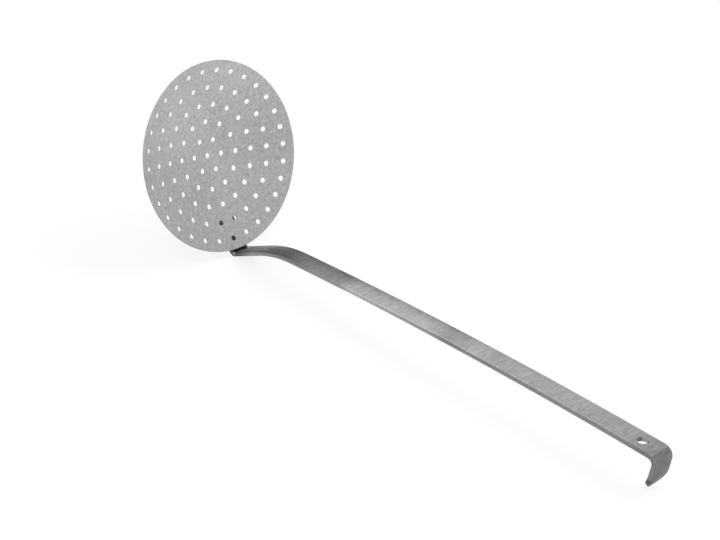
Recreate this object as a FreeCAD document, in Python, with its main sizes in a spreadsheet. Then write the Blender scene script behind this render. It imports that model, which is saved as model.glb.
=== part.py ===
# Skimmer: a dished perforated blade welded to a handle bent from one flat strip
import FreeCAD, Part
import math
import os

import Sketcher
from FreeCAD import Placement, Rotation, Vector

# Driving dimensions in millimetres and degrees, each with the thing it sets
SIZES = (
    ("blade_diameter", 120.0, "outside of the round blade"),
    ("blade_depth", 13.7, "height of the rim over the middle of the hollow face"),
    ("blade_sheet", 0.8, "thickness of the blade's sheet"),
    ("rim_bevel", 0.2, "bevel where the blade's trimmed edge is deburred"),
    ("hole_diameter", 3.3, "each perforation"),
    ("ring_count", 5.0, "rings of perforations round the middle one"),
    ("rim_margin", 6.5, "blade's edge to the middle of the outermost perforations"),
    ("pattern_turn", 22.5, "turn of the perforations from the handle's line"),
    ("strip_thickness", 3.0, "thickness of the handle's strip"),
    ("tang_width", 12.9, "width of the strip at the tang's end"),
    ("grip_width", 15.0, "width of the strip at the hook's end"),
    ("strip_round", 0.6, "rounding of the strip's long edges"),
    ("tang_reach", 24.0, "how far the tang runs in under the blade"),
    ("tang_corner_radius", 4.5, "rounding of the tang's end, seen from its face"),
    ("rim_clearance", 0.1, "room between the blade's edge and the strip's bend"),
    ("rim_bend_radius", 1.5, "inside of the bend at the blade's rim"),
    ("rim_bend_angle", 70.0, "turn of the bend at the blade's rim"),
    ("neck_length", 24.0, "straight neck above the rim"),
    ("neck_bend_radius", 83.0, "inside of the long bend from neck to shaft"),
    ("neck_bend_angle", 21.0, "turn of the bend from neck to shaft"),
    ("shaft_length", 276.0, "shaft from the neck's bend to the hook"),
    ("shaft_bow_angle", 4.8, "gentle bow over the whole shaft"),
    ("hook_radius", 3.0, "inside of the hook's bend"),
    ("hook_angle", 96.0, "turn of the hook's bend"),
    ("leg_length", 6.0, "straight leg after the hook's bend"),
    ("tongue_radius", 17.0, "inside of the tongue's curl"),
    ("tongue_angle", 43.0, "turn of the tongue's curl"),
    ("tongue_nose_radius", 2.0, "rounding of the tongue's tip, seen from its face"),
    ("tongue_flare", 0.4, "room outside the strip's side where each flank of the tongue starts"),
    ("tongue_corner_radius", 6.0, "rounding where each flank of the tongue leaves the strip's side"),
    ("tongue_trim", 0.8, "what is cut off the strip past the tongue's tip"),
    ("hang_hole_diameter", 6.0, "hole to hang the skimmer by"),
    ("hang_hole_offset", 9.3, "hang hole back from the start of the hook's bend"),
    ("hang_hole_bevel", 0.3, "bevel round the hang hole's edges"),
)

# The blade's radii and the step from one ring of perforations to the next, as formulas on the sheet
HOLLOW_RADIUS = "((Sizes.blade_diameter ^ 2 / 4 + Sizes.blade_depth ^ 2) / (2 * Sizes.blade_depth))"
BACK_RADIUS = "(%s + Sizes.blade_sheet)" % HOLLOW_RADIUS
RING_PITCH = "((Sizes.blade_diameter / 2 - Sizes.rim_margin) / Sizes.ring_count)"
# Straight distance from the tongue's start to its finished tip
TONGUE_REACH = (
    "(2 * (Sizes.tongue_radius + Sizes.strip_thickness / 2) * sin(Sizes.tongue_angle * 0.5 deg) - Sizes.tongue_trim)"
)
# Turns in degrees between two faces that meet at a square edge, and at the slight corner by a tongue's flank
SQUARE_TURNS = (45, 135)
SLIGHT_TURNS = (3, 45)


def make_sheet(doc):
    """Put the driving dimensions into a spreadsheet, one alias each"""
    sheet = doc.addObject("Spreadsheet::Sheet", "Sizes")
    for row, (alias, value, meaning) in enumerate(SIZES, start=1):
        sheet.set("A%d" % row, meaning)
        sheet.set("B%d" % row, "%g" % value)
        sheet.setAlias("B%d" % row, alias)
    doc.recompute()
    return sheet


def origin_item(body, role):
    """One of the body's own origin planes or axes, by its role"""
    return next(item for item in body.Origin.OriginFeatures if item.Role == role)


def new_sketch(body, name, role):
    """A sketch of this body, flat on one of its origin planes"""
    sketch = body.newObject("Sketcher::SketchObject", name)
    sketch.AttachmentSupport = [(origin_item(body, role), "")]
    sketch.MapMode = "FlatFace"
    return sketch


def bind(sketch, constraint, formula):
    """Add a constraint whose value follows a formula on the sheet"""
    index = sketch.addConstraint(constraint)
    sketch.setExpression("Constraints[%d]" % index, formula)
    return index


def centre_on_hollow(sketch, arc):
    """Hold an arc's centre at the middle of the blade's round hollow, where the body's origin is"""
    sketch.addConstraint(Sketcher.Constraint("Coincident", arc, 3, -1, 1))


def flat_arc(centre, radius, start, end):
    """Arc in a sketch from one angle to another in degrees, anticlockwise"""
    circle = Part.Circle(Vector(centre[0], centre[1], 0), Vector(0, 0, 1), radius)
    return Part.ArcOfCircle(circle, math.radians(start), math.radians(end))


def flat_line(first, second):
    """Straight line in a sketch between two points"""
    return Part.LineSegment(Vector(first[0], first[1], 0), Vector(second[0], second[1], 0))


class Form:
    """Centre line and key points of the skimmer in the blade's upright plane, worked out from the sheet"""

    def __init__(self, sheet):
        for alias, _value, _meaning in SIZES:
            setattr(self, alias, float(sheet.get(alias)))
        half = self.blade_diameter / 2
        self.hollow_radius = (half ** 2 + self.blade_depth ** 2) / (2 * self.blade_depth)
        self.hollow = (0.0, 0.0)
        self.back_radius = self.hollow_radius + self.blade_sheet
        self.ring_pitch = (half - self.rim_margin) / self.ring_count
        self.middle = self.strip_thickness / 2
        self.tang_line_radius = self.back_radius + self.middle
        self.tang_inner = half - self.tang_reach
        self.tang_outer = half + self.rim_clearance
        self.tang_start = slope_at(self.tang_inner, self.back_radius)
        self.tang_end = slope_at(self.tang_outer, self.back_radius)
        shaft_radius = self.shaft_length / math.radians(self.shaft_bow_angle)
        # Each run of the centre line: its name, radius, turn to the left in degrees, and length if straight
        self.runs = (
            ("rim_bend", self.rim_bend_radius + self.middle, self.rim_bend_angle, 0.0),
            ("neck", 0.0, 0.0, self.neck_length),
            ("neck_bend", self.neck_bend_radius + self.middle, -self.neck_bend_angle, 0.0),
            ("shaft", shaft_radius, -self.shaft_bow_angle, 0.0),
            ("hook", self.hook_radius + self.middle, -self.hook_angle, 0.0),
            ("leg", 0.0, 0.0, self.leg_length),
            ("tongue", self.tongue_radius + self.middle, -self.tongue_angle, 0.0),
        )
        self.start = {}
        self.centre = {}
        self.heading = {}
        point = self.tang_point(self.tang_end)
        heading = self.tang_end
        for name, radius, turn, length in self.runs:
            self.start[name] = point
            self.heading[name] = heading
            if radius:
                side = math.copysign(radius, turn)
                self.centre[name] = step(point, heading + 90, side)
                heading += turn
                point = step(self.centre[name], heading + 90, -side)
            else:
                point = step(point, heading, length)
        self.end = point
        self.end_heading = heading

    def tang_point(self, angle):
        """Point of the tang's centre line at an angle from the blade's axis"""
        return step(self.hollow, angle - 90, self.tang_line_radius)

    def tongue_middle(self):
        """Heading at the middle of the tongue's curl and the straight distance from its start to its end"""
        radius = self.tongue_radius + self.middle
        half_turn = self.tongue_angle / 2
        return self.heading["tongue"] - half_turn, 2 * radius * math.sin(math.radians(half_turn))

    def tongue_place(self):
        """Placement on the strip's middle at the tongue's start, facing the middle of its curl"""
        heading, _chord = self.tongue_middle()
        return facewise(self.start["tongue"], heading)

    def tongue_reach(self):
        """Straight distance from the tongue's start to its finished tip"""
        return self.tongue_middle()[1] - self.tongue_trim

    def tip_round(self):
        """Centre of the rounding along the tongue's tip, on the side that meets a table"""
        heading, _chord = self.tongue_middle()
        centre = self.centre["tongue"]
        outer = self.tongue_radius + self.strip_thickness - self.strip_round
        foot = step(self.start["tongue"], heading, self.tongue_reach() - self.strip_round)
        turn = math.radians(heading)
        along = (foot[0] - centre[0]) * math.cos(turn) + (foot[1] - centre[1]) * math.sin(turn)
        return step(step(centre, heading, along), heading + 90, math.sqrt(outer ** 2 - along ** 2))

    def resting_turn(self):
        """Angle in degrees between the blade's face and a table that the rim bend and the tip touch"""
        bend = self.centre["rim_bend"]
        drop = self.rim_bend_radius + self.strip_thickness - self.strip_round
        tip = self.tip_round()
        away = (tip[0] - bend[0], tip[1] - bend[1])
        return math.degrees(math.atan2(away[1], away[0]) + math.asin(drop / math.hypot(*away)))

    def taper_place(self):
        """Placement at the neck's start, facing the hook, with the taper's length to the hook's start"""
        first, last = self.start["neck"], self.start["hook"]
        heading = math.degrees(math.atan2(last[1] - first[1], last[0] - first[0]))
        return facewise(first, heading), math.dist(first, last)

    def hang_place(self):
        """Placement on the strip's middle at the hang hole, back along the shaft from the hook"""
        radius = self.shaft_length / math.radians(self.shaft_bow_angle)
        back = math.degrees(self.hang_hole_offset / radius)
        heading = self.heading["hook"] + back
        return facewise(step(self.centre["shaft"], heading + 90, radius), heading)


def slope_at(reach, radius):
    """Slope in degrees of a round hollow of some radius, at a distance from its axis"""
    return math.degrees(math.asin(reach / radius))


def step(point, heading, length):
    """Point a length away from another along a heading in degrees"""
    turn = math.radians(heading)
    return (point[0] + length * math.cos(turn), point[1] + length * math.sin(turn))


def draw_strip(body, form):
    """Sketch of the strip from its side: tang, rim bend, neck, shaft, hook and tongue, each tangent to the next"""
    sketch = new_sketch(body, "StripSide", "XZ_Plane")
    sizes = {
        "rim_bend": ("Sizes.rim_bend_radius", "Sizes.rim_bend_angle"),
        "neck": ("Sizes.neck_length", ""),
        "neck_bend": ("Sizes.neck_bend_radius + Sizes.strip_thickness", "Sizes.neck_bend_angle"),
        "shaft": ("Sizes.shaft_length / Sizes.shaft_bow_angle * 180 / pi + Sizes.strip_thickness / 2",
                  "Sizes.shaft_bow_angle"),
        "hook": ("Sizes.hook_radius + Sizes.strip_thickness", "Sizes.hook_angle"),
        "leg": ("Sizes.leg_length", ""),
        "tongue": ("Sizes.tongue_radius + Sizes.strip_thickness", "Sizes.tongue_angle"),
    }
    face = draw_chain(sketch, form, form.middle)
    back = draw_chain(sketch, form, -form.middle)
    tang = face[0][0]
    centre_on_hollow(sketch, tang)
    bind(sketch, Sketcher.Constraint("Radius", tang, form.back_radius), BACK_RADIUS)
    bind(sketch, Sketcher.Constraint("DistanceX", -1, 1, tang, 1, form.tang_inner),
         "Sizes.blade_diameter / 2 - Sizes.tang_reach")
    bind(sketch, Sketcher.Constraint("DistanceX", -1, 1, tang, 2, form.tang_outer),
         "Sizes.blade_diameter / 2 + Sizes.rim_clearance")
    bind(sketch, Sketcher.Constraint("Radius", back[0][0], form.back_radius + form.strip_thickness),
         BACK_RADIUS + " + Sizes.strip_thickness")
    sketch.addConstraint(Sketcher.Constraint("Coincident", tang, 3, back[0][0], 3))
    for (name, radius, turn, length), (near, _start, _end), (far, _far_start, _far_end) in zip(
            form.runs, face[1:], back[1:]):
        size, angle = sizes[name]
        if radius:
            own = radius - math.copysign(form.middle, turn)
            bind(sketch, Sketcher.Constraint("Radius", near, own), size)
            bind(sketch, Sketcher.Constraint("Angle", near, math.radians(abs(turn))), "%s * 1 deg" % angle)
            sketch.addConstraint(Sketcher.Constraint("Coincident", near, 3, far, 3))
        else:
            bind(sketch, Sketcher.Constraint("Distance", near, length), size)
            sketch.addConstraint(Sketcher.Constraint("Parallel", near, far))
    for near, far, where in ((face[0], back[0], 1), (face[-1], back[-1], 2)):
        first = sketch.getPoint(near[0], near[where])
        second = sketch.getPoint(far[0], far[where])
        cap = sketch.addGeometry(flat_line(first, second))
        sketch.addConstraint(Sketcher.Constraint("Coincident", near[0], near[where], cap, 1))
        sketch.addConstraint(Sketcher.Constraint("Coincident", far[0], far[where], cap, 2))
        sketch.addConstraint(Sketcher.Constraint("PointOnObject", near[0], 3, cap))
    return sketch


def draw_chain(sketch, form, offset):
    """Draw one face of the strip, offset to the left of its centre line, as edges with their start and end points"""
    chain = [(sketch.addGeometry(flat_arc(form.hollow, form.tang_line_radius - offset, form.tang_start - 90,
                                          form.tang_end - 90)), 1, 2)]
    for name, radius, turn, length in form.runs:
        heading = form.heading[name]
        if radius:
            first = heading - math.copysign(90, turn)
            own = radius - math.copysign(offset, turn)
            edge = sketch.addGeometry(flat_arc(form.centre[name], own, *sorted((first, first + turn))))
            start, end = (1, 2) if turn > 0 else (2, 1)
        else:
            point = step(form.start[name], heading + 90, offset)
            edge = sketch.addGeometry(flat_line(point, step(point, heading, length)))
            start, end = 1, 2
        sketch.addConstraint(Sketcher.Constraint("Tangent", chain[-1][0], chain[-1][2], edge, start))
        chain.append((edge, start, end))
    return chain


def draw_taper(body, form):
    """Sketch of what is left of a wide strip, seen from its face: a band that widens evenly to the hook"""
    place, length = form.taper_place()
    sketch = new_sketch(body, "TaperOutline", "XY_Plane")
    sketch.AttachmentOffset = place
    low, high = -form.blade_diameter / 2, length + form.blade_diameter / 2
    half_low, half_high = form.tang_width / 2, form.grip_width / 2
    slope = (half_high - half_low) / length
    edges = [half_low + slope * low, half_low + slope * high]
    outside = form.grip_width
    band = ((edges[0], low), (edges[1], high), (-edges[1], high), (-edges[0], low))
    outer = ((outside, low), (outside, high), (-outside, high), (-outside, low))
    margin = form.strip_thickness
    outer = tuple((x, y - margin if y < 0 else y + margin) for x, y in outer)
    loops = []
    for corners in (band, outer):
        sides = [
            sketch.addGeometry(flat_line(corners[turn], corners[(turn + 1) % 4]))
            for turn in range(4)
        ]
        for turn in range(4):
            sketch.addConstraint(Sketcher.Constraint("Coincident", sides[turn], 2, sides[(turn + 1) % 4], 1))
        for turn in (1, 3):
            sketch.addConstraint(Sketcher.Constraint("Symmetric", sides[turn], 1, sides[turn], 2, -2))
        loops.append(sides)
    band, outer = loops
    for name, y, half in (("tang_width", 0.0, half_low), ("grip_width", length, half_high)):
        width = sketch.addGeometry(flat_line((-half, y), (half, y)), True)
        sketch.addConstraint(Sketcher.Constraint("Symmetric", width, 1, width, 2, -2))
        sketch.addConstraint(Sketcher.Constraint("PointOnObject", width, 2, band[0]))
        bind(sketch, Sketcher.Constraint("Distance", width, 2 * half), "Sizes." + name)
        if y:
            sketch.addConstraint(Sketcher.Constraint("DistanceY", -1, 1, width, 2, y))
        else:
            sketch.addConstraint(Sketcher.Constraint("PointOnObject", width, 2, -1))
    half_blade = "Sizes.blade_diameter / 2"
    bind(sketch, Sketcher.Constraint("DistanceY", band[0], 1, -1, 1, -low), half_blade)
    sketch.addConstraint(Sketcher.Constraint("DistanceY", -1, 1, band[0], 2, high))
    bind(sketch, Sketcher.Constraint("DistanceX", -1, 1, outer[0], 1, outside), "Sizes.grip_width")
    sketch.addConstraint(Sketcher.Constraint("Vertical", outer[0]))
    for end in (1, 2):
        first, second = ((outer, band), (band, outer))[end - 1]
        bind(sketch, Sketcher.Constraint("DistanceY", first[0], end, second[0], end, margin), "Sizes.strip_thickness")
    return sketch


def edges_between(shape, turns, near=None, within=0.0):
    """Names of a shape's edges where two faces turn by an angle in a range, all or those close to a point"""
    least, most = turns
    names = []
    for number, edge in enumerate(shape.Edges, start=1):
        faces = shape.ancestorsOfType(edge, Part.Face)
        middle = edge.valueAt((edge.FirstParameter + edge.LastParameter) / 2)
        if len(faces) != 2 or (near is not None and middle.distanceToPoint(near) > within):
            continue
        first, second = (face.normalAt(*face.Surface.parameter(middle)) for face in faces)
        if least < math.degrees(first.getAngle(second)) < most:
            names.append("Edge%d" % number)
    return names


def round_edges(doc, body, name, names, form, alias):
    """Round the named edges of the body's last feature"""
    rounding = body.newObject("PartDesign::Fillet", name)
    rounding.Base = (rounding.BaseFeature, names)
    rounding.Radius = getattr(form, alias)
    rounding.setExpression("Radius", "Sizes.%s" % alias)
    doc.recompute()
    return rounding


def bevel_edges(doc, body, name, names, form, alias):
    """Bevel the named edges of the body's last feature"""
    bevel = body.newObject("PartDesign::Chamfer", name)
    bevel.Base = (bevel.BaseFeature, names)
    bevel.Size = getattr(form, alias)
    bevel.setExpression("Size", "Sizes.%s" % alias)
    doc.recompute()
    return bevel


def facewise(point, heading):
    """Placement on the strip's middle: x across the strip, y onwards, z out of its back"""
    turn = math.radians(heading)
    across = Vector(0, 1, 0)
    onwards = Vector(math.cos(turn), 0, math.sin(turn))
    return Placement(Vector(point[0], 0, point[1]), Rotation(across, onwards, across.cross(onwards), "ZXY"))


def cut_across_strip(body, name, sketch, length, formula):
    """Pocket a sketch that faces the strip to both sides of its plane"""
    pocket = body.newObject("PartDesign::Pocket", name)
    pocket.Profile = sketch
    pocket.SideType = "Symmetric"
    pocket.Length = length
    pocket.setExpression("Length", formula)
    return pocket


def draw_tongue(body, form):
    """Sketch of what is cut off the strip's end: all outside two flank arcs that run into a round nose"""
    half_width = form.grip_width / 2 + form.tongue_flare
    length = form.tongue_reach()
    nose = form.tongue_nose_radius
    flank = ((length - nose) ** 2 + half_width ** 2 - nose ** 2) / (2 * (half_width - nose))
    join = math.degrees(math.atan2(length - nose, flank - half_width))
    outside = half_width + form.strip_thickness
    beyond = length + 2 * form.strip_thickness
    sketch = new_sketch(body, "TongueOutline", "XY_Plane")
    sketch.AttachmentOffset = form.tongue_place()
    right = sketch.addGeometry(flat_arc((half_width - flank, 0), flank, 0, join))
    tip = sketch.addGeometry(flat_arc((0, length - nose), nose, join, 180 - join))
    left = sketch.addGeometry(flat_arc((flank - half_width, 0), flank, 180 - join, 180))
    corners = ((-half_width, 0), (-outside, 0), (-outside, beyond), (outside, beyond), (outside, 0), (half_width, 0))
    frame = [
        sketch.addGeometry(flat_line(first, second))
        for first, second in zip(corners, corners[1:])
    ]
    sketch.addConstraint(Sketcher.Constraint("Tangent", right, 2, tip, 1))
    sketch.addConstraint(Sketcher.Constraint("Tangent", tip, 2, left, 1))
    for first, second in zip([left] + frame, frame):
        sketch.addConstraint(Sketcher.Constraint("Coincident", first, 2, second, 1))
    sketch.addConstraint(Sketcher.Constraint("Coincident", frame[4], 2, right, 1))
    for side, direction in zip(frame, ("Horizontal", "Vertical", "Horizontal", "Vertical", "Horizontal")):
        sketch.addConstraint(Sketcher.Constraint(direction, side))
    for arc in (right, left):
        sketch.addConstraint(Sketcher.Constraint("PointOnObject", arc, 3, -1))
    sketch.addConstraint(Sketcher.Constraint("PointOnObject", right, 1, -1))
    sketch.addConstraint(Sketcher.Constraint("PointOnObject", tip, 3, -2))
    sketch.addConstraint(Sketcher.Constraint("Symmetric", right, 1, left, 2, -2))
    sketch.addConstraint(Sketcher.Constraint("Equal", frame[0], frame[4]))
    bind(sketch, Sketcher.Constraint("DistanceX", -1, 1, right, 1, half_width),
         "Sizes.grip_width / 2 + Sizes.tongue_flare")
    bind(sketch, Sketcher.Constraint("Radius", tip, nose), "Sizes.tongue_nose_radius")
    bind(sketch, Sketcher.Constraint("DistanceY", -1, 1, tip, 3, length - nose),
         TONGUE_REACH + " - Sizes.tongue_nose_radius")
    bind(sketch, Sketcher.Constraint("Distance", frame[0], form.strip_thickness), "Sizes.strip_thickness")
    bind(sketch, Sketcher.Constraint("Distance", frame[1], beyond), TONGUE_REACH + " + 2 * Sizes.strip_thickness")
    return sketch


def make_handle(doc, form):
    """The handle, one flat strip: tang, bend at the rim, neck, bowed shaft, hook and tongue"""
    body = doc.addObject("PartDesign::Body", "Handle")
    body.Label = "strip_handle"
    strip = body.newObject("PartDesign::Pad", "Strip")
    strip.Profile = draw_strip(body, form)
    strip.SideType = "Symmetric"
    strip.Length = form.grip_width + 2 * form.strip_thickness
    strip.setExpression("Length", "Sizes.grip_width + 2 * Sizes.strip_thickness")
    doc.recompute()
    cut_across_strip(body, "Taper", draw_taper(body, form), 3 * form.blade_diameter, "3 * Sizes.blade_diameter")
    doc.recompute()

    tang_x, tang_z = form.tang_point(form.tang_start)
    corners = []
    for side in (-1, 1):
        corner = Vector(tang_x, side * form.tang_width / 2, tang_z)
        corners += edges_between(body.Tip.Shape, SQUARE_TURNS, corner, form.strip_thickness / 2)
    round_edges(doc, body, "TangCorners", corners, form, "tang_corner_radius")

    cut_across_strip(body, "TongueEnd", draw_tongue(body, form), 4 * form.strip_thickness, "4 * Sizes.strip_thickness")
    doc.recompute()
    round_edges(doc, body, "TongueCorners", edges_between(body.Tip.Shape, SLIGHT_TURNS), form, "tongue_corner_radius")
    round_edges(doc, body, "StripRounding", edges_between(body.Tip.Shape, SQUARE_TURNS), form, "strip_round")

    hole = new_sketch(body, "HangHoleOutline", "XY_Plane")
    hole.AttachmentOffset = form.hang_place()
    circle = hole.addGeometry(Part.Circle(Vector(0, 0, 0), Vector(0, 0, 1), form.hang_hole_diameter / 2))
    hole.addConstraint(Sketcher.Constraint("Coincident", circle, 3, -1, 1))
    bind(hole, Sketcher.Constraint("Diameter", circle, form.hang_hole_diameter), "Sizes.hang_hole_diameter")
    cut_across_strip(body, "HangHole", hole, 4 * form.strip_thickness, "4 * Sizes.strip_thickness")
    doc.recompute()
    middle = form.hang_place().Base
    around = edges_between(body.Tip.Shape, SQUARE_TURNS, middle, form.hang_hole_diameter)
    bevel_edges(doc, body, "HangHoleBevel", around, form, "hang_hole_bevel")
    return body


def draw_trim(body, form):
    """Sketch of what is trimmed off a whole hollow ball: all but the cap inside the blade's edge"""
    sketch = new_sketch(body, "TrimSection", "XZ_Plane")
    edge, outside = form.blade_diameter / 2, form.back_radius + form.blade_depth
    rise = form.hollow_radius / 2
    corners = ((0, -rise), (edge, -rise), (edge, -outside), (outside, -outside), (outside, outside), (0, outside))
    sides = [
        sketch.addGeometry(flat_line(corners[turn], corners[(turn + 1) % 6]))
        for turn in range(6)
    ]
    for turn in range(6):
        sketch.addConstraint(Sketcher.Constraint("Coincident", sides[turn], 2, sides[(turn + 1) % 6], 1))
    for side, direction in zip(sides, ("Horizontal", "Vertical", "Horizontal", "Vertical", "Horizontal")):
        sketch.addConstraint(Sketcher.Constraint(direction, side))
    for end in (1, 2):
        sketch.addConstraint(Sketcher.Constraint("PointOnObject", sides[5], end, -2))
    far = BACK_RADIUS + " + Sizes.blade_depth"
    bind(sketch, Sketcher.Constraint("Distance", sides[0], edge), "Sizes.blade_diameter / 2")
    bind(sketch, Sketcher.Constraint("DistanceY", sides[0], 1, -1, 1, rise), HOLLOW_RADIUS + " / 2")
    bind(sketch, Sketcher.Constraint("DistanceX", -1, 1, sides[3], 1, outside), far)
    bind(sketch, Sketcher.Constraint("DistanceY", sides[3], 1, -1, 1, outside), far)
    bind(sketch, Sketcher.Constraint("DistanceY", -1, 1, sides[3], 2, outside), far)
    return sketch


def add_ball(doc, body, name, kind, radius, formula):
    """One whole ball about the hollow's middle, its poles level and its seam on top, clear of the blade"""
    ball = body.newObject(kind, name)
    ball.Radius = radius
    ball.setExpression("Radius", formula)
    ball.Placement = Placement(Vector(0, 0, 0), Rotation(Vector(0, 1, 0), -90))
    doc.recompute()


def make_blade(doc, form):
    """The blade: a round sheet pressed to a shallow hollow, with rings of holes square to its face"""
    body = doc.addObject("PartDesign::Body", "Blade")
    body.Label = "perforated_blade"
    add_ball(doc, body, "Back", "PartDesign::AdditiveSphere", form.back_radius, BACK_RADIUS)
    add_ball(doc, body, "Hollow", "PartDesign::SubtractiveSphere", form.hollow_radius, HOLLOW_RADIUS)
    trim = body.newObject("PartDesign::Groove", "Trim")
    trim.Profile = draw_trim(body, form)
    trim.ReferenceAxis = (origin_item(body, "Z_Axis"), [""])
    trim.Angle = 360
    doc.recompute()
    bevel_edges(doc, body, "RimBevel", edges_between(trim.Shape, SQUARE_TURNS), form, "rim_bevel")
    for ring in range(int(form.ring_count) + 1):
        punch_ring(doc, body, form, ring)
    return body


def punch_ring(doc, body, form, ring):
    """Punch one ring of perforations, six for each step out from the middle

    Each is a slender cone that starts at the hollow's middle, so its wall is square to the sheet.
    """
    out = slope_at(ring * form.ring_pitch, form.hollow_radius)
    hole = body.newObject("PartDesign::SubtractiveCone", "Hole%d" % ring)
    hole.Radius1 = 0
    hole.Radius2 = form.hole_diameter / 2 * (form.back_radius + form.blade_sheet) / form.hollow_radius
    hole.setExpression("Radius2", "Sizes.hole_diameter / 2 * Height / " + HOLLOW_RADIUS)
    hole.Height = form.back_radius + form.blade_sheet
    hole.setExpression("Height", BACK_RADIUS + " + Sizes.blade_sheet")
    hole.Placement = Placement(Vector(0, 0, 0), Rotation(Vector(0, 1, 0), 180 - out))
    hole.setExpression("Placement.Rotation.Angle", "180 deg - asin(%d * %s / %s)" % (ring, RING_PITCH, HOLLOW_RADIUS))
    doc.recompute()
    if ring:
        pattern = body.newObject("PartDesign::PolarPattern", "Ring%d" % ring)
        pattern.Originals = [hole]
        pattern.Axis = (origin_item(body, "Z_Axis"), [""])
        pattern.Angle = 360
        pattern.Occurrences = 6 * ring
        body.Tip = pattern
        doc.recompute()


def stand_at_rest(form, blade, handle):
    """Turn both pieces as the skimmer rests on a table, over the middle of the space that it takes"""
    lean = Placement(Vector(0, 0, 0), Rotation(Vector(0, 1, 0), form.resting_turn()))
    pattern = Placement(Vector(0, 0, 0), Rotation(Vector(0, 0, 1), form.pattern_turn))
    blade.Placement = lean * pattern
    handle.Placement = lean
    boxes = [piece.Shape.optimalBoundingBox() for piece in (blade, handle)]
    middle = (min(box.XMin for box in boxes) + max(box.XMax for box in boxes)) / 2
    bend_x, bend_z = form.centre["rim_bend"]
    bend = lean.multVec(Vector(bend_x, 0, bend_z))
    lift = form.rim_bend_radius + form.strip_thickness - bend.z
    place = Placement(Vector(-middle, 0, lift), Rotation())
    for piece in (blade, handle):
        piece.Placement = place * piece.Placement


def check(doc, pieces):
    """Stop if any object of the document failed or a piece isn't one valid solid"""
    for item in doc.Objects:
        if {"Invalid", "Error"} & set(item.State):
            raise RuntimeError("%s failed: %s" % (item.Name, item.State))
    for piece in pieces:
        shape = piece.Shape
        if shape.isNull() or not shape.isValid() or len(shape.Solids) != 1:
            raise RuntimeError("%s isn't one valid solid" % piece.Label)


def main():
    """Build both pieces, stand them at rest and write each to its own file"""
    doc = FreeCAD.newDocument("Skimmer")
    form = Form(make_sheet(doc))
    blade = make_blade(doc, form)
    handle = make_handle(doc, form)
    stand_at_rest(form, blade, handle)
    doc.recompute()
    check(doc, (blade, handle))
    os.makedirs("parts", exist_ok=True)
    for piece in (blade, handle):
        piece.Shape.exportStep(os.path.join("parts", piece.Label + ".step"))
        box = piece.Shape.optimalBoundingBox()
        print(piece.Label, "volume %.1f" % piece.Shape.Volume, "box %.2f %.2f %.2f to %.2f %.2f %.2f" % (
            box.XMin, box.YMin, box.ZMin, box.XMax, box.YMax, box.ZMax))
    print("resting turn %.3f" % form.resting_turn())


main()
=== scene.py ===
"""Perforated kitchen skimmer resting on a plain white floor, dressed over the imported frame."""
import logging
import math
from dataclasses import dataclass
from enum import Enum

import bpy
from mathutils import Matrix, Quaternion, Vector

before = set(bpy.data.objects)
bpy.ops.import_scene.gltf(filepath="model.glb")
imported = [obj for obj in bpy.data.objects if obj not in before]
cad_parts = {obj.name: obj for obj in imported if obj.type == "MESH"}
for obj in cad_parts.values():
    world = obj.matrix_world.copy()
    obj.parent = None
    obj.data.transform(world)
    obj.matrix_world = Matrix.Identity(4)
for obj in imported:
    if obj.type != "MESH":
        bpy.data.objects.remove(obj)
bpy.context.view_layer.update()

log = logging.getLogger("skimmer")

# Noise that marks the steel, and the range that most of its values fall in
NOISE_ROUGHNESS = 0.6
NOISE_RANGE = (0.3, 0.7)
MARK_DETAIL = 5.0
PATCH_DETAIL = 2.0

# Patches against marks: how many times larger, and the share of the marks' stretch that they keep
PATCH_SIZE = 22.0
PATCH_STRETCH = 0.25

# Levels under the object, which stands at 0: the floor, and the cards that lie just above it
FLOOR_LEVEL = -0.0002
CARD_LEVEL = -0.0001

UPWARD = Vector((0.0, 0.0, 1.0))
WHOLE = (0.0, 1.0)

Stops = tuple[tuple[float, float], ...]


class Grain(Enum):
    """How a steel surface was last worked.

    The value is how many times longer its marks are across the handle than along it.
    """

    TUMBLED = 1.0
    CROSS_GROUND = 6.0


class Heading(Enum):
    """Direction that painted light and shade follow, from the frame's origin.

    OUT_OF_BLADE leads out of the blade's back at the tang.
    """

    LENGTH = (1.0, 0.0, 0.0)
    WIDTH = (0.0, 1.0, 0.0)
    HEIGHT = (0.0, 0.0, 1.0)
    OUT_OF_BLADE = (-0.764, 0.0, -0.646)


@dataclass(frozen=True)
class PaintedLight:
    """Painted light and shade: the share of its tone that the steel shows from place to place, standing in
    for reflections, highlights and shadows.

    Each stop is a place along the heading, in metres, and the share there. The share changes evenly from
    one stop to the next.
    """

    heading: Heading
    stops: Stops

    @property
    def reach(self) -> tuple[float, float]:
        """Places of the first and the last stop."""
        return self.stops[0][0], self.stops[-1][0]

    def position(self, spot: float) -> float:
        """Place of a stop as a share of the reach."""
        start, end = self.reach
        return (spot - start) / (end - start)


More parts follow.
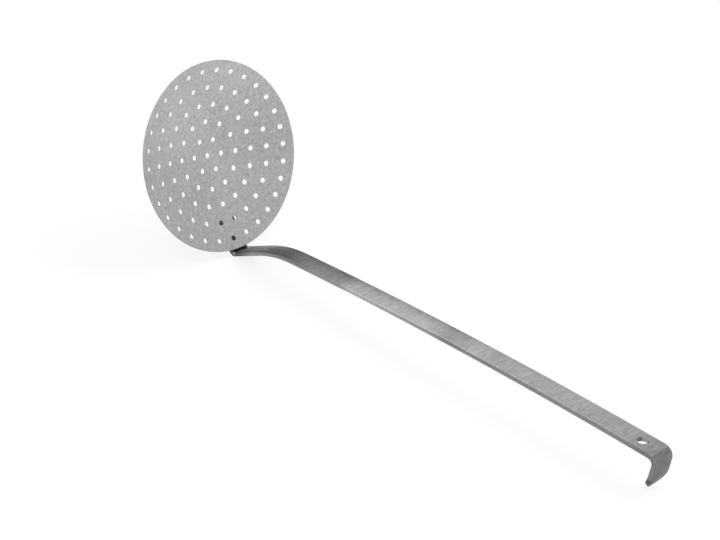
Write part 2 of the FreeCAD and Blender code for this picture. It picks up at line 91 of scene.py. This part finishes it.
@dataclass(frozen=True)
class SteelFinish:
    """Stainless steel, with its tone, gloss, the marks of its last working, and painted light and shade.
    """

    name: str
    grain: Grain
    tone: float
    mottle: float
    patch_share: float
    roughness: float
    roughness_swing: float
    mark_size: float
    bump_height: float
    painted_lights: tuple[PaintedLight, ...]

    def build(self) -> bpy.types.Material:
        """Make the node material of this finish.

        Returns:
            The new material.
        """
        graph = MaterialGraph(self.name)
        stretch = self.grain.value
        patch_stretch = 1.0 + (stretch - 1.0) * PATCH_STRETCH
        marks = graph.marks(self.mark_size, stretch, MARK_DETAIL)
        patches = graph.marks(self.mark_size * PATCH_SIZE, patch_stretch, PATCH_DETAIL)
        blend = graph.mix_values(marks, patches, self.patch_share)
        colour = graph.neutral(graph.spread(blend, NOISE_RANGE, around(self.tone, self.mottle)))
        for painted_light in self.painted_lights:
            colour = graph.with_painted_light(colour, painted_light)
        rough = graph.spread(blend, NOISE_RANGE, around(self.roughness, self.roughness_swing))
        graph.link(colour, graph.shader.inputs["Base Color"])
        graph.link(rough, graph.shader.inputs["Roughness"])
        graph.bump(marks, self.bump_height)
        graph.shader.inputs["Metallic"].default_value = 1.0
        return graph.material


def around(middle: float, swing: float) -> tuple[float, float]:
    """Range that reaches a swing below and above its middle."""
    return middle - swing, middle + swing


def both_sides(outward: Stops) -> Stops:
    """Repeat stops on the other side of the middle.

    Args:
        outward: Stops of one side, from the middle outward.

    Returns:
        The stops of both sides, from one edge to the other.
    """
    return tuple((-spot, share) for spot, share in reversed(outward)) + outward


BLADE_STEEL = SteelFinish(
    name="tumbled_blade_steel",
    grain=Grain.TUMBLED,
    tone=0.475,
    mottle=0.135,
    patch_share=0.2,
    roughness=0.46,
    roughness_swing=0.06,
    mark_size=0.0019,
    bump_height=0.00002,
    # Painted light and shade: the blade is darker towards the bottom and lighter towards the top
    painted_lights=(PaintedLight(Heading.HEIGHT, ((0.0, 0.84), (0.06, 0.98), (0.12, 1.08))),),
)

# Painted reflections, highlights and shade along the handle's length
HANDLE_PAINTED_REFLECTION = PaintedLight(
    Heading.LENGTH,
    (
        # Tang and the bend round the rim: painted shade under the rim and a painted highlight on the bend
        (-0.170, 0.9), (-0.149, 0.9), (-0.147, 1.2),
        # Neck: painted dark reflection
        (-0.145, 0.2), (-0.141, 0.2), (-0.130, 0.5),
        # Shaft next to the neck: painted reflection of the blade
        (-0.112, 0.46), (-0.090, 0.46), (-0.052, 0.64),
        # Shaft, a little brightened, with one painted dark reflection near its middle
        (-0.042, 1.08), (0.024, 1.06), (0.032, 0.86), (0.044, 0.86), (0.052, 1.05),
        # Grip and hang hole a little darkened, and the hook darkened by painted reflection
        (0.080, 0.94), (0.150, 0.92), (0.178, 0.7), (0.190, 0.76),
    ),
)

# By the distance from the strip's middle: a painted highlight at the rounded edges of its narrow end, near
# the blade, and painted shade at those of its wide end, near the hook
EDGE_PAINTED_HIGHLIGHT_AND_SHADE = PaintedLight(
    Heading.WIDTH,
    both_sides(
        ((0.0062, 1.0), (0.0065, 1.3), (0.0067, 1.3), (0.00705, 0.68), (0.0073, 0.76), (0.0076, 0.8))
    ),
)

# The tang's face against the blade is darkened by painted shadow, which shows through the blade's holes
# and fades towards its outer face
TANG_PAINTED_SHADOW = PaintedLight(
    Heading.OUT_OF_BLADE,
    ((0.1102, 1.0), (0.111, 0.3), (0.1111, 0.15), (0.1116, 0.15), (0.1136, 0.4), (0.1143, 0.8)),
)

HANDLE_STEEL = SteelFinish(
    name="brushed_handle_steel",
    grain=Grain.CROSS_GROUND,
    tone=0.41,
    mottle=0.14,
    patch_share=0.35,
    roughness=0.24,
    roughness_swing=0.05,
    mark_size=0.0012,
    bump_height=0.00001,
    painted_lights=(HANDLE_PAINTED_REFLECTION, EDGE_PAINTED_HIGHLIGHT_AND_SHADE, TANG_PAINTED_SHADOW),
)


class NodeGraph:
    """Nodes under construction, with short calls for those that materials and the world share."""

    def __init__(self, tree: bpy.types.NodeTree) -> None:
        """Work on the given node tree."""
        self.tree = tree

    def node(self, kind: str) -> bpy.types.Node:
        """Add a node of the given kind."""
        return self.tree.nodes.new(kind)

    def first(self, kind: str) -> bpy.types.Node:
        """Find the first node of a kind that a new tree comes with."""
        return next(node for node in self.tree.nodes if node.type == kind)

    def link(self, start: bpy.types.NodeSocket, end: bpy.types.NodeSocket) -> None:
        """Join an output to an input."""
        self.tree.links.new(start, end)

    def spread(
        self, value: bpy.types.NodeSocket, source: tuple[float, float], target: tuple[float, float]
    ) -> bpy.types.NodeSocket:
        """Spread one range of a value over another, and hold it there past the ends.

        Args:
            value: Value to spread.
            source: Start and end of its range.
            target: What start and end become.

        Returns:
            The new value.
        """
        spread = self.node("ShaderNodeMapRange")
        spread.inputs["From Min"].default_value, spread.inputs["From Max"].default_value = source
        spread.inputs["To Min"].default_value, spread.inputs["To Max"].default_value = target
        self.link(value, spread.inputs["Value"])
        return spread.outputs["Result"]

    def seen_rays(self) -> bpy.types.NodeSocket:
        """Value that is 1 for camera, glossy and transmission rays, which show the white surround.

        Returns:
            The value.
        """
        path = self.node("ShaderNodeLightPath")
        total = path.outputs["Is Camera Ray"]
        for name in ("Is Glossy Ray", "Is Transmission Ray"):
            most = self.node("ShaderNodeMath")
            most.operation = "MAXIMUM"
            self.link(total, most.inputs[0])
            self.link(path.outputs[name], most.inputs[1])
            total = most.outputs["Value"]
        return total


class MaterialGraph(NodeGraph):
    """A new material's nodes, with short calls for the steel, the cards and the floor."""

    def __init__(self, name: str) -> None:
        """Start a material with one principled shader on its output.

        Args:
            name: Name of the material.
        """
        self.material = bpy.data.materials.new(name)
        self.material.use_nodes = True
        super().__init__(self.material.node_tree)
        self.shader = self.first("BSDF_PRINCIPLED")

    def matt(self, tone: float, roughness: float) -> None:
        """Make the shader a plain matt grey without a sheen.

        Args:
            tone: The grey.
            roughness: Roughness of the surface.
        """
        self.shader.inputs["Base Color"].default_value = (tone, tone, tone, 1.0)
        self.shader.inputs["Roughness"].default_value = roughness
        self.shader.inputs["Specular IOR Level"].default_value = 0.0

    def marks(self, size: float, stretch: float, detail: float) -> bpy.types.NodeSocket:
        """Noise on object coordinates, drawn out across the handle's width.

        Args:
            size: Breadth of one mark in metres.
            stretch: How many times longer a mark is along Y.
            detail: Depth of the noise.

        Returns:
            The noise value.
        """
        place = self.node("ShaderNodeTexCoord")
        mapping = self.node("ShaderNodeMapping")
        mapping.inputs["Scale"].default_value = (1.0, 1.0 / stretch, 1.0)
        noise = self.node("ShaderNodeTexNoise")
        noise.inputs["Scale"].default_value = 1.0 / size
        noise.inputs["Detail"].default_value = detail
        noise.inputs["Roughness"].default_value = NOISE_ROUGHNESS
        self.link(place.outputs["Object"], mapping.inputs["Vector"])
        self.link(mapping.outputs["Vector"], noise.inputs["Vector"])
        return noise.outputs["Fac"]

    def mix_values(
        self, first: bpy.types.NodeSocket, second: bpy.types.NodeSocket, share: float
    ) -> bpy.types.NodeSocket:
        """Blend two values.

        Args:
            first: Value at share 0.
            second: Value at share 1.
            share: Share of the second value.

        Returns:
            The blended value.
        """
        mix = self.node("ShaderNodeMix")
        mix.data_type = "FLOAT"
        mix.inputs["Factor"].default_value = share
        self.link(first, mix.inputs["A"])
        self.link(second, mix.inputs["B"])
        return mix.outputs["Result"]

    def neutral(self, grey: bpy.types.NodeSocket) -> bpy.types.NodeSocket:
        """Turn a value into a grey without a hue.

        Args:
            grey: The value.

        Returns:
            The colour.
        """
        colour = self.node("ShaderNodeCombineColor")
        for channel in ("Red", "Green", "Blue"):
            self.link(grey, colour.inputs[channel])
        return colour.outputs["Color"]

    def with_painted_light(self, colour: bpy.types.NodeSocket, painted_light: PaintedLight) -> bpy.types.NodeSocket:
        """Paint shade and light on a colour along one direction, between the stops.

        Args:
            colour: Colour of clean steel.
            painted_light: Share of the tone from place to place, as painted light and shade.

        Returns:
            The colour with painted light and shade.
        """
        place = self.node("ShaderNodeTexCoord")
        along = self.node("ShaderNodeVectorMath")
        along.operation = "DOT_PRODUCT"
        along.inputs[1].default_value = painted_light.heading.value
        self.link(place.outputs["Object"], along.inputs[0])
        ramp = self.node("ShaderNodeValToRGB")
        elements = ramp.color_ramp.elements
        for spot, _share in painted_light.stops[1:-1]:
            elements.new(painted_light.position(spot))
        for element, (_spot, share) in zip(elements, painted_light.stops):
            element.color = (share, share, share, 1.0)
        self.link(self.spread(along.outputs["Value"], painted_light.reach, WHOLE), ramp.inputs["Fac"])
        shade = self.node("ShaderNodeVectorMath")
        shade.operation = "MULTIPLY"
        self.link(colour, shade.inputs[0])
        self.link(ramp.outputs["Color"], shade.inputs[1])
        return shade.outputs["Vector"]

    def bump(self, value: bpy.types.NodeSocket, height: float) -> None:
        """Raise the surface by a noise value.

        Args:
            value: The noise value.
            height: Height in metres where the value is 1.
        """
        bump = self.node("ShaderNodeBump")
        bump.inputs["Strength"].default_value = 1.0
        bump.inputs["Distance"].default_value = height
        self.link(value, bump.inputs["Height"])
        self.link(bump.outputs["Normal"], self.shader.inputs["Normal"])

    def glow(self, share: bpy.types.NodeSocket) -> None:
        """Let a share of the surface show as plain white light.

        Args:
            share: The share, from 0 to 1.
        """
        light = self.node("ShaderNodeEmission")
        light.inputs["Strength"].default_value = 1.0
        mix = self.node("ShaderNodeMixShader")
        self.link(share, mix.inputs["Fac"])
        self.link(self.shader.outputs["BSDF"], mix.inputs[1])
        self.link(light.outputs["Emission"], mix.inputs[2])
        self.link(mix.outputs["Shader"], self.first("OUTPUT_MATERIAL").inputs["Surface"])


@dataclass
class SteelPart:
    """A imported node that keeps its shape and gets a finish."""

    node: str
    finish: SteelFinish
    seam_reach: float = 0.000002
    smooth_angle: float = math.radians(32.0)

    def dress(self) -> bpy.types.Object:
        """Smooth the node's shading and give it the finish.

        Returns:
            The node's object.
        """
        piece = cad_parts[self.node]
        piece.data.materials.clear()
        piece.data.materials.append(self.finish.build())
        for face in piece.data.polygons:
            face.use_smooth = True
        weld = piece.modifiers.new("join_seams", "WELD")
        weld.merge_threshold = self.seam_reach
        split = piece.modifiers.new("keep_edges", "EDGE_SPLIT")
        split.split_angle = self.smooth_angle
        return piece


@dataclass
class PerforatedBlade(SteelPart):
    """Round sheet with rings of holes, pressed hollow and then tumbled."""

    node: str = "perforated_blade"
    finish: SteelFinish = BLADE_STEEL


@dataclass
class StripHandle(SteelPart):
    """Flat strip, ground across its width and bent to tang, neck, shaft and hook."""

    node: str = "strip_handle"
    finish: SteelFinish = HANDLE_STEEL


def lay_plane(name: str, width: float, depth: float, middle: Vector, faces: Vector) -> bpy.types.Object:
    """Add a flat rectangle whose place is in its mesh.

    Args:
        name: Name of the object.
        width: Length of its first side in metres.
        depth: Length of its second side in metres.
        middle: Where its middle is.
        faces: Direction that it faces.

    Returns:
        The new object.
    """
    bpy.ops.object.select_all(action="DESELECT")
    bpy.ops.mesh.primitive_plane_add(size=1.0)
    plane = bpy.context.object
    plane.name = name
    plane.scale = (width, depth, 1.0)
    plane.rotation_mode = "QUATERNION"
    plane.rotation_quaternion = faces.to_track_quat("Z", "Y")
    plane.location = middle
    bpy.ops.object.transform_apply(location=True, rotation=True, scale=True)
    return plane


@dataclass(frozen=True)
class GreyCard:
    """Plain card beside the object that only its reflections show, as used to shade steel in a studio."""

    name: str
    tone: float
    width: float
    depth: float
    middle: Vector
    faces: Vector
    roughness: float = 1.0

    def build(self) -> bpy.types.Object:
        """Make the card and hide it from the camera, diffuse light, shadows and transmission.

        Returns:
            The card's object.
        """
        card = lay_plane(self.name, self.width, self.depth, self.middle, self.faces)
        graph = MaterialGraph(self.name)
        graph.matt(self.tone, self.roughness)
        card.data.materials.append(graph.material)
        card.visible_camera = False
        card.visible_diffuse = False
        card.visible_shadow = False
        card.visible_transmission = False
        return card


@dataclass(frozen=True)
class SoftLamp:
    """Square soft lamp that faces the object and doesn't show in its reflections."""

    name: str
    place: Vector
    power: float
    size: float

    def build(self) -> bpy.types.Object:
        """Hang the lamp.

        Returns:
            The lamp's object.
        """
        light = bpy.data.lights.new(self.name, "AREA")
        light.energy = self.power
        light.size = self.size
        lamp = bpy.data.objects.new(self.name, light)
        lamp.location = self.place
        lamp.rotation_mode = "QUATERNION"
        lamp.rotation_quaternion = (-self.place).to_track_quat("-Z", "Y")
        lamp.visible_glossy = False
        bpy.context.scene.collection.objects.link(lamp)
        return lamp


@dataclass
class Studio:
    """White floor, soft lamps, grey cards and an even white surround."""

    floor_side: float = 6.0
    floor_tone: float = 0.88
    floor_roughness: float = 0.9
    glow_share: float = 0.8
    world_strength: float = 0.85
    lamps: tuple[SoftLamp, ...] = (
        SoftLamp("key_lamp", Vector((0.35, 0.75, 0.95)), 9.0, 0.9),
        SoftLamp("fill_lamp", Vector((0.2, -0.9, 0.7)), 4.0, 1.0),
    )
    cards: tuple[GreyCard, ...] = (
        GreyCard("far_card", 0.35, 1.8, 0.54, Vector((-0.89, 0.857, 0.27)), Vector((0.7, -0.714, 0.0))),
        GreyCard("front_card", 0.6, 0.5, 0.3, Vector((-0.02, -0.18, CARD_LEVEL)), UPWARD),
        GreyCard("hook_card", 0.43, 0.13, 0.12, Vector((0.235, 0.044, CARD_LEVEL)), UPWARD),
        GreyCard("bend_card", 0.55, 0.16, 0.16, Vector((0.255, 0.08, 0.085)), Vector((-0.62, -0.78, 0.0))),
    )

    def build(self) -> None:
        """Make the floor, the world, the lamps and the cards."""
        self.build_floor()
        self.build_world()
        for item in self.lamps + self.cards:
            log.info("placed %s", item.build().name)

    def build_floor(self) -> None:
        """Lay a plain white floor under the object."""
        middle = Vector((0.0, 0.0, FLOOR_LEVEL))
        floor = lay_plane("studio_floor", self.floor_side, self.floor_side, middle, UPWARD)
        graph = MaterialGraph("white_floor")
        graph.matt(self.floor_tone, self.floor_roughness)
        graph.glow(graph.spread(graph.seen_rays(), WHOLE, (0.0, self.glow_share)))
        floor.data.materials.append(graph.material)

    def build_world(self) -> None:
        """Surround the scene with even white light, seen at strength 1 by the camera and by the steel."""
        world = bpy.data.worlds.new("white_surround")
        bpy.context.scene.world = world
        world.use_nodes = True
        graph = NodeGraph(world.node_tree)
        background = graph.first("BACKGROUND")
        background.inputs["Color"].default_value = (1.0, 1.0, 1.0, 1.0)
        strength = graph.spread(graph.seen_rays(), WHOLE, (self.world_strength, 1.0))
        graph.link(strength, background.inputs["Strength"])


@dataclass
class PhotoCamera:
    """Camera at the photograph's viewing angle, with its place in metres and its lens in millimetres."""

    place: Vector = Vector((0.64067, -0.70336, 0.58988))
    azimuth: float = 44.1
    elevation: float = 29.57
    roll: float = 3.05
    lens: float = 95.21
    sensor: float = 36.0
    nearest: float = 0.01
    farthest: float = 50.0

    def build(self) -> bpy.types.Object:
        """Make the camera and set it as the scene's camera.

        Returns:
            The camera's object.
        """
        turn, rise = math.radians(self.azimuth), math.radians(self.elevation)
        back = Vector((math.sin(turn) * math.cos(rise), -math.cos(turn) * math.cos(rise), math.sin(rise)))
        data = bpy.data.cameras.new("photo_camera")
        data.lens = self.lens
        data.sensor_width = self.sensor
        data.clip_start = self.nearest
        data.clip_end = self.farthest
        camera = bpy.data.objects.new("photo_camera", data)
        camera.location = self.place
        camera.rotation_mode = "QUATERNION"
        level = (-back).to_track_quat("-Z", "Y")
        camera.rotation_quaternion = Quaternion(back, math.radians(self.roll)) @ level
        bpy.context.scene.collection.objects.link(camera)
        bpy.context.scene.camera = camera
        return camera


def main() -> None:
    """Dress both parts, then set the floor, the light and the camera."""
    logging.basicConfig(level=logging.INFO, format="%(message)s")
    for part in (PerforatedBlade(), StripHandle()):
        log.info("dressed %s with %s", part.dress().name, part.finish.name)
    Studio().build()
    log.info("placed %s", PhotoCamera().build().name)
    bpy.context.scene.view_settings.view_transform = "Standard"


if __name__ == "__main__":
    main()
